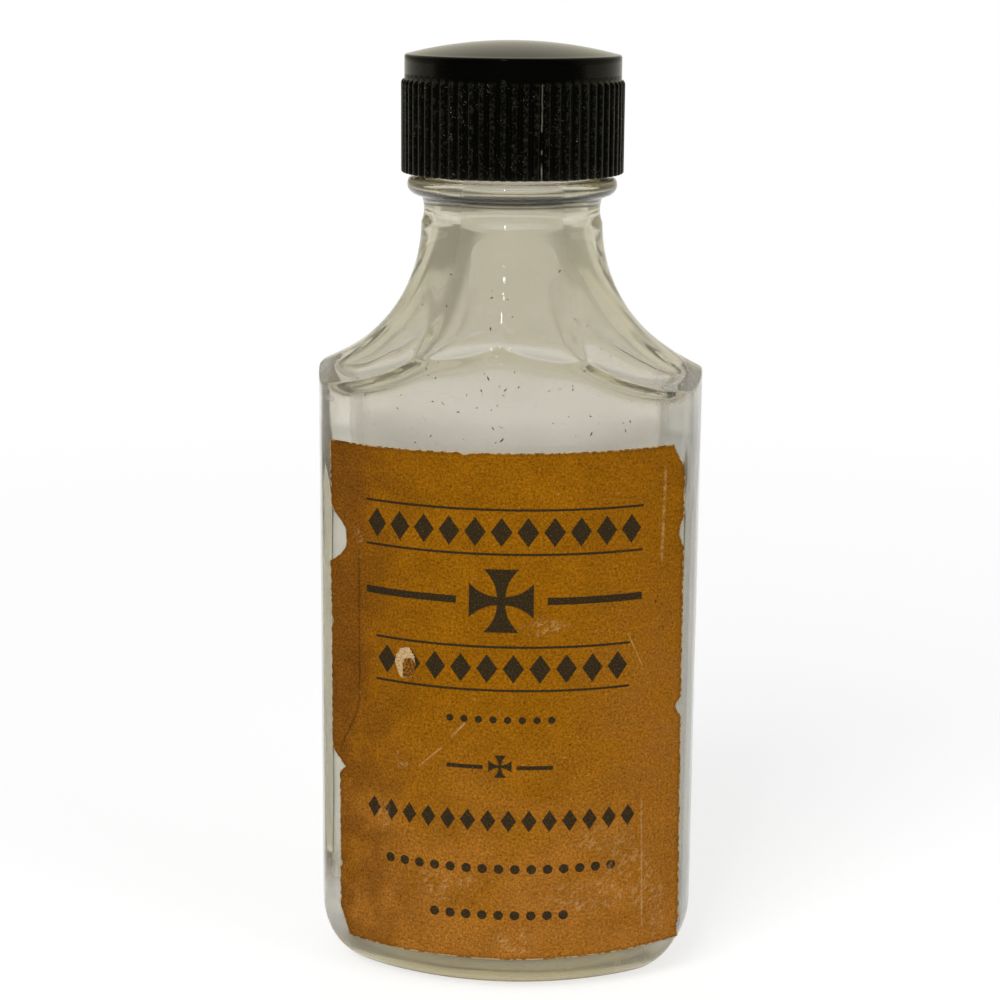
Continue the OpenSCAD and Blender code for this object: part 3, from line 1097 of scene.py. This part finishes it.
class BOTTLE_OT_cap(bpy.types.Operator):
    """Model the ribbed screw cap"""
    bl_idname = "holy_water.cap"
    bl_label = "Cap"

    def execute(self, context):
        s = settings(context).cap
        rows = CapForm(s, settings(context).glass).rows()
        obj = turned_piece("screw_cap", rows, s.ribs * STEPS_PER_RIB)
        finish_piece(obj, cap_material(s), "cap", "cap")
        return {"FINISHED"}


class BOTTLE_OT_liner(bpy.types.Operator):
    """Model the board and the waxed paper of the liner"""
    bl_idname = "holy_water.liner"
    bl_label = "Liner"

    def execute(self, context):
        s = settings(context).liner
        for node, name, slot, make, dent in (
                ("liner_backing", "liner_board", "liner_board", board_material, 0.0),
                ("liner_facing", "liner_paper", "liner_paper", waxed_material, s.dent)):
            low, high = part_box(node)
            obj = turned_piece(name, liner_rows(low.z, high.z, high.x, dent), LINER_STEPS)
            finish_piece(obj, make(s), "liner", node)
        return {"FINISHED"}


class BOTTLE_OT_label(bpy.types.Operator):
    """Model the worn paper label"""
    bl_idname = "holy_water.label"
    bl_label = "Label"

    def execute(self, context):
        s = settings(context).label
        glass = settings(context).glass
        obj = label_sheet(s, glass)
        finish_piece(obj, label_material(s, glass), "bottle", "label")
        return {"FINISHED"}


WHITE = (1.0, 1.0, 1.0)
BLACK = (0.0, 0.0, 0.0)
BEIGE = (0.79, 0.775, 0.68)


def light_paths(tree):
    """Light straight to the camera, mirrored outside, come through glass, and any of these."""
    path = tree.nodes.new("ShaderNodeLightPath")
    kinds = ("Is Camera Ray", "Is Glossy Ray", "Is Transmission Ray")
    straight, glossy, through = [Wire(tree, path.outputs[kind]) for kind in kinds]
    return straight, glossy * (1.0 - through), through, most(straight, glossy, through)


def white_world(ambient):
    """A white background for the camera, a beige room in the glass, and softer light for everything else."""
    world = bpy.data.worlds.new("white_room")
    bpy.context.scene.world = world
    world.use_nodes = True
    tree = world.node_tree
    straight, mirrored, _, seen = light_paths(tree)
    coordinates = tree.nodes.new("ShaderNodeTexCoord")
    x, y, z = parts(Wire(tree, coordinates.outputs["Generated"]))
    dim_side = most(x.ease(-0.17, -0.47, 0.0, 0.75), x.ease(0.08, 0.32, 0.0, 0.45))
    room = layered(
        BEIGE, (z.ease(0.0, 0.20), (0.77, 0.73, 0.58)), (z.ease(0.25, 0.80), (0.66, 0.63, 0.52)),
        (abs(x).ease(0.30, 0.85, 0.0, 0.6), (0.46, 0.45, 0.38)),
        (dim_side * z.ease(0.34, 0.20), (0.22, 0.205, 0.14)),
        (mirrored * y.ease(0.15, -0.55, 0.0, 0.9), BLACK))
    background = tree.nodes["Background"].inputs
    feed(tree, background["Color"], layered(WHITE, (seen - straight, room)))
    feed(tree, background["Strength"], seen * (1.0 - ambient) + ambient)


def white_floor():
    """A pale floor that keeps the bottle's shadow; through the glass it also shows a painted glow under the
    bottle and a painted shadow round it.
    """
    floor = added(bpy.ops.mesh.primitive_plane_add, "floor", size=8.0, location=(0, 0, -0.05 * MM))
    bpy.ops.object.transform_apply(location=True)
    look = Look("pale_floor")
    straight, mirrored, through, seen = light_paths(look.tree)
    place = look.source("Object")
    away = size_of(place)
    far = away.ease(0.08, 0.40)
    beyond = (seen - straight) * away.ease(0.36, 0.72)
    # Painted light: the floor glows brighter under the bottle, seen only through the glass
    below = through * away.ease(0.040, 0.022, 0.0, 0.32)
    # Painted shadow: a dimmer ring of floor round the bottle, seen only through the glass
    painted_shadow = away.ease(0.024, 0.034) * away.ease(0.36, 0.22, 0.0, 0.40) * through
    front = mirrored * parts(place)[1].ease(-0.05, -0.30, 0.0, 0.9)
    glow = seen * (far * 0.32 + 0.68 + below)
    look.give({
        "Base Color": layered((0.4, 0.4, 0.4), (far, BLACK)),
        "Roughness": 1.0,
        "Specular IOR Level": 0.0,
        "Emission Color": layered(WHITE, (beyond, BEIGE)),
        "Emission Strength": glow * (1.0 - painted_shadow) * (1.0 - front)})
    floor.data.materials.append(look.material)


def soft_lamp(name, place, aim, size, power, mirrored=False):
    """An oblong lamp turned towards aim; only a mirrored one shows in glossy surfaces."""
    lamp = added(bpy.ops.object.light_add, name, type="AREA", location=place)
    lamp.data.shape = "RECTANGLE"
    lamp.data.size, lamp.data.size_y = size
    lamp.data.energy = power
    lamp.visible_glossy = mirrored
    lamp.visible_transmission = mirrored
    way = Vector(aim) - Vector(place)
    lamp.rotation_euler = way.to_track_quat("-Z", "Y").to_euler()


def photo_camera(s):
    """The camera, at the photograph's place, tilt and roll."""
    camera = added(bpy.ops.object.camera_add, "camera")
    camera.data.sensor_width = 36.0
    camera.data.lens = s.lens
    camera.data.clip_start = 0.01
    head = s.azimuth + s.pan
    ahead = Vector((-math.sin(head) * math.cos(s.tilt), math.cos(head) * math.cos(s.tilt),
                    -math.sin(s.tilt)))
    level = Vector((math.cos(head), math.sin(head), 0.0))
    up = level.cross(ahead)
    right = math.cos(s.roll) * level + math.sin(s.roll) * up
    up = right.cross(ahead)
    place = Vector((s.distance * math.sin(s.azimuth), -s.distance * math.cos(s.azimuth), s.height))
    turn = Matrix((right, up, -ahead)).transposed()
    camera.matrix_world = Matrix.Translation(place) @ turn.to_4x4()
    bpy.context.scene.camera = camera


class BOTTLE_OT_stage(bpy.types.Operator):
    """Set up the floor, the light and the camera"""
    bl_idname = "holy_water.stage"
    bl_label = "Stage"

    def execute(self, context):
        s = settings(context).stage
        white_world(s.ambient)
        white_floor()
        body = (0, 0, 0.06)
        ridge = (0, 0, 0.09)
        soft_lamp("key_lamp", (-0.30, -0.80, 0.70), body, (0.5, 0.5), s.key_power)
        soft_lamp("fill_lamp", (0.70, -0.45, 0.45), body, (0.5, 0.5), s.fill_power)
        soft_lamp("ridge_lamp", (-0.08, -0.52, 0.82), ridge, (0.03, 0.12), s.ridge_power, True)
        soft_lamp("low_ridge_lamp", (-0.08, -0.80, 0.51), ridge, (0.03, 0.07), 0.55 * s.ridge_power, True)
        photo_camera(s)
        context.scene.view_settings.view_transform = "Standard"
        cycles = context.scene.cycles
        cycles.max_bounces = 64
        cycles.blur_glossy = 0.0
        cycles.glossy_bounces = 48
        cycles.transmission_bounces = 48
        return {"FINISHED"}


OPERATORS = (BOTTLE_OT_stage, BOTTLE_OT_glass, BOTTLE_OT_cap, BOTTLE_OT_liner, BOTTLE_OT_label)


class BOTTLE_PT_panel(bpy.types.Panel):
    """Lists the pieces and their settings"""
    bl_label = "Holy Water Bottle"
    bl_space_type = "VIEW_3D"
    bl_region_type = "UI"
    bl_category = "Bottle"

    def draw(self, context):
        for operator in OPERATORS:
            self.layout.operator(operator.bl_idname)
        for group in ("glass", "cap", "liner", "label", "stage"):
            box = self.layout.box()
            box.label(text=group.capitalize())
            owner = getattr(settings(context), group)
            for name in owner.__annotations__:
                box.prop(owner, name)


CLASSES = (GlassSettings, CapSettings, LinerSettings, LabelSettings, StageSettings, BottleSettings,
           *OPERATORS, BOTTLE_PT_panel)


def register():
    for cls in CLASSES:
        bpy.utils.register_class(cls)
    bpy.types.Scene.holy_water_bottle = bpy.props.PointerProperty(type=BottleSettings)


def unregister():
    del bpy.types.Scene.holy_water_bottle
    for cls in reversed(CLASSES):
        bpy.utils.unregister_class(cls)


def main():
    register()
    bpy.ops.holy_water.stage()
    bpy.ops.holy_water.glass()
    bpy.ops.holy_water.cap()
    bpy.ops.holy_water.liner()
    bpy.ops.holy_water.label()


if __name__ == "__main__":
    main()
